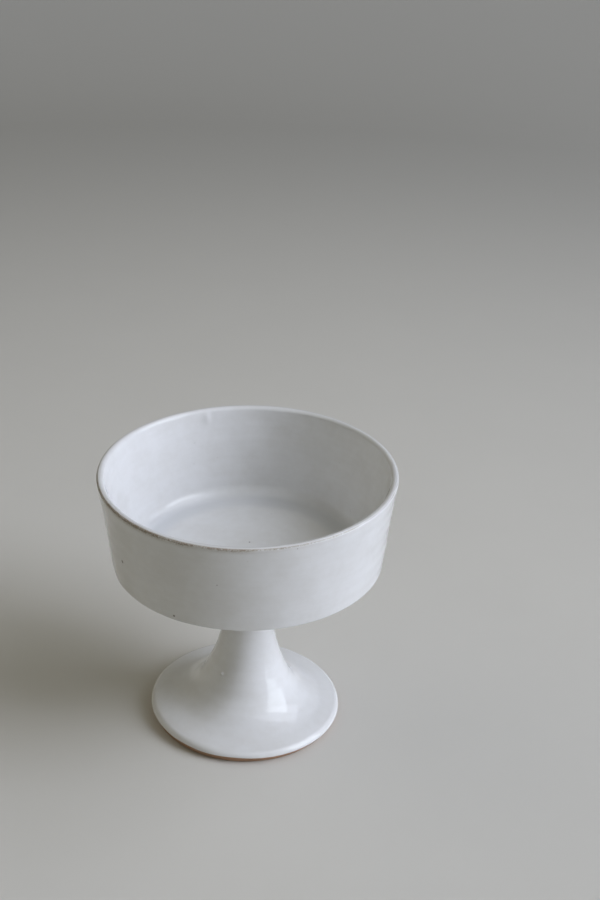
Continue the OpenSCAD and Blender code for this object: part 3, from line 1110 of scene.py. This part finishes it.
class CUP_OT_stage(bpy.types.Operator):
    """Set the cup on a pale floor in soft light from one side, with the camera in front"""

    bl_idname = "pudding_cup.stage"
    bl_label = "Stage"

    # Flat floor, the sweep from it up to the wall, and the sheets' steps
    FLOOR_RADIUS = 0.9
    SWEEP_RADIUS = 0.6
    WALL_HEIGHT = 1.7
    SWEEP_STEPS = 25
    SECTORS = 96
    # Radius to which the floor is palest before its painted falloff of light, grain of its clouds, their
    # shade, roughness
    PAINTED_LIGHT_REACH = 0.10
    CLOUD_GRAIN = 0.05
    CLOUD_SHADE = 0.96
    FLOOR_ROUGHNESS = 0.7
    # Where the mirrored ceiling starts and is full, and what the camera sees past the wall
    CEILING_SPAN = (0.3, 0.9)
    SKY_LEVEL = 0.3

    def execute(self, context):
        stage = context.scene.pudding_cup.stage
        shape = context.scene.pudding_cup.shape
        material = self.floor_material(stage)
        under_ring = shape.foot_radius - shape.bevel_width - shape.ring_width / 2
        rows = [(under_ring, 0.0), (self.FLOOR_RADIUS, 0.0)]
        floor = self.turned_sheet("floor", rows, material)
        backdrop = self.turned_sheet("backdrop", self.sweep(), material)
        backdrop.visible_diffuse = False
        backdrop.visible_glossy = False
        backdrop.visible_shadow = False
        self.lamp(context, stage, "key").visible_glossy = False
        self.lamp(context, stage, "top")
        self.lamp(context, stage, "fill").visible_glossy = False
        self.lamp(context, stage, "pane").visible_diffuse = False
        self.room(context, stage)
        self.camera(context, stage)
        context.scene.view_settings.view_transform = "Standard"
        return {"FINISHED"}

    def sweep(self):
        """The backdrop's half section, from the floor's edge up to the top of the wall."""
        bends = np.linspace(0, math.pi / 2, self.SWEEP_STEPS)
        rows = [
            (self.FLOOR_RADIUS + self.SWEEP_RADIUS * math.sin(a), self.SWEEP_RADIUS * (1 - math.cos(a)))
            for a in bends
        ]
        return rows + [(self.FLOOR_RADIUS + self.SWEEP_RADIUS, self.WALL_HEIGHT)]

    def turned_sheet(self, name, rows, material):
        """A sheet round the axis, open at its first and last row."""
        theta = np.linspace(0, 2 * math.pi, self.SECTORS, endpoint=False)
        points = [(r * math.cos(a), r * math.sin(a), z) for r, z in rows for a in theta]
        count = self.SECTORS
        faces = []
        for i in range(len(rows) - 1):
            for j in range(count):
                k = (j + 1) % count
                faces.append((i * count + j, (i + 1) * count + j, (i + 1) * count + k, i * count + k))
        mesh = bpy.data.meshes.new(name)
        mesh.from_pydata(points, [], faces)
        mesh.shade_smooth()
        mesh.materials.append(material)
        sheet = bpy.data.objects.new(name, mesh)
        bpy.context.scene.collection.objects.link(sheet)
        return sheet

    def floor_material(self, stage):
        """Matt pale plaster with painted light that falls off to darker further from the cup, and clear when
        it is seen from below.
        """
        material = bpy.data.materials.new("pale_plaster")
        g = Graph(material)
        cloud = g.noise(g.place(), self.CLOUD_GRAIN)
        near = g.mix(cloud, rgba(stage.floor), rgba(stage.floor, self.CLOUD_SHADE))
        # Painted falloff of light: the floor darkens to the backdrop's colour further from the cup
        painted_falloff = g.rise(g.distance(g.place(), (0.0, 0.0, 0.0)), self.PAINTED_LIGHT_REACH, self.FLOOR_RADIUS)
        body = g.mix(painted_falloff, near, rgba(stage.backdrop))
        sockets = {"Base Color": body, "Roughness": self.FLOOR_ROUGHNESS}
        plaster = g.node("ShaderNodeBsdfPrincipled", None, sockets)
        clear = g.node("ShaderNodeBsdfTransparent")
        behind = g.node("ShaderNodeNewGeometry", output="Backfacing")
        sheet = g.node("ShaderNodeMixShader", None, {0: behind, 1: plaster, 2: clear})
        g.node("ShaderNodeOutputMaterial", None, {"Surface": sheet})
        return material

    def lamp(self, context, stage, name):
        """One of the stage's soft lights, turned to the cup."""
        light = bpy.data.lights.new(name, "AREA")
        light.shape = "RECTANGLE"
        light.size, light.size_y = getattr(stage, name + "_size")
        light.energy = getattr(stage, name + "_power")
        light.color = getattr(stage, name + "_colour")
        lamp = bpy.data.objects.new(name, light)
        lamp.location = getattr(stage, name + "_place")
        middle = (CAD_BOX[0] + CAD_BOX[1]) / 2
        lamp.rotation_euler = (middle - lamp.location).to_track_quat("-Z", "Y").to_euler()
        context.scene.collection.objects.link(lamp)
        return lamp

    def room(self, context, stage):
        """Dim light from all round, a pale ceiling that only the glaze mirrors, and grey to look at."""
        world = bpy.data.worlds.new("room")
        g = Graph(world)
        heading = g.node("ShaderNodeTexCoord", output="Generated")
        sockets = {0: heading, 1: stage.ceiling_way}
        facing = g.node("ShaderNodeVectorMath", {"operation": "DOT_PRODUCT"}, sockets, "Value")
        mirrored = g.node("ShaderNodeLightPath", output="Is Glossy Ray")
        seen = g.node("ShaderNodeLightPath", output="Is Camera Ray")
        lit = g.mix(mirrored, rgba(stage.room_colour), rgba(stage.ceiling_colour))
        ceiling = mirrored * g.rise(facing, *self.CEILING_SPAN) * stage.ceiling_level
        sockets = {
            "Color": g.mix(seen, lit, rgba(stage.backdrop)),
            "Strength": ceiling + seen * self.SKY_LEVEL + stage.room_level,
        }
        g.node("ShaderNodeOutputWorld", None, {"Surface": g.node("ShaderNodeBackground", None, sockets)})
        context.scene.world = world

    def camera(self, context, stage):
        """The camera, turned by yaw, then pitch, then roll."""
        lens = bpy.data.cameras.new("camera")
        lens.lens = stage.camera_lens
        eye = bpy.data.objects.new("camera", lens)
        turn = (
            Matrix.Rotation(-stage.camera_yaw, 4, "Z")
            @ Matrix.Rotation(math.pi / 2 - stage.camera_pitch, 4, "X")
            @ Matrix.Rotation(stage.camera_roll, 4, "Z")
        )
        eye.matrix_world = Matrix.Translation(stage.camera_place) @ turn
        context.scene.collection.objects.link(eye)
        context.scene.camera = eye


class CUP_PT_panel(bpy.types.Panel):
    """Lists the cup's pieces and the sizes and colours behind them"""

    bl_idname = "CUP_PT_panel"
    bl_label = "Pudding cup"
    bl_space_type = "VIEW_3D"
    bl_region_type = "UI"
    bl_category = "Pudding cup"

    def draw(self, context):
        settings = context.scene.pudding_cup
        for operator in OPERATORS:
            self.layout.operator(operator.bl_idname)
        for group in (settings.shape, settings.hand, settings.finish, settings.stage):
            column = self.layout.box().column()
            for name in group.__annotations__:
                column.prop(group, name)


OPERATORS = (
    CUP_OT_bowl_clay,
    CUP_OT_pedestal_clay,
    CUP_OT_joint_slip,
    CUP_OT_glaze_coats,
    CUP_OT_stage,
)
CLASSES = (CupShape, CupHand, CupFinish, CupStage, CupSettings, *OPERATORS, CUP_PT_panel)


def register():
    for each in CLASSES:
        bpy.utils.register_class(each)
    bpy.types.Scene.pudding_cup = bpy.props.PointerProperty(type=CupSettings)


def unregister():
    del bpy.types.Scene.pudding_cup
    for each in reversed(CLASSES):
        bpy.utils.unregister_class(each)


def main():
    register()
    bpy.ops.pudding_cup.bowl_clay()
    bpy.ops.pudding_cup.pedestal_clay()
    bpy.ops.pudding_cup.joint_slip()
    bpy.ops.pudding_cup.glaze_coats()
    bpy.ops.pudding_cup.stage()


if __name__ == "__main__":
    main()
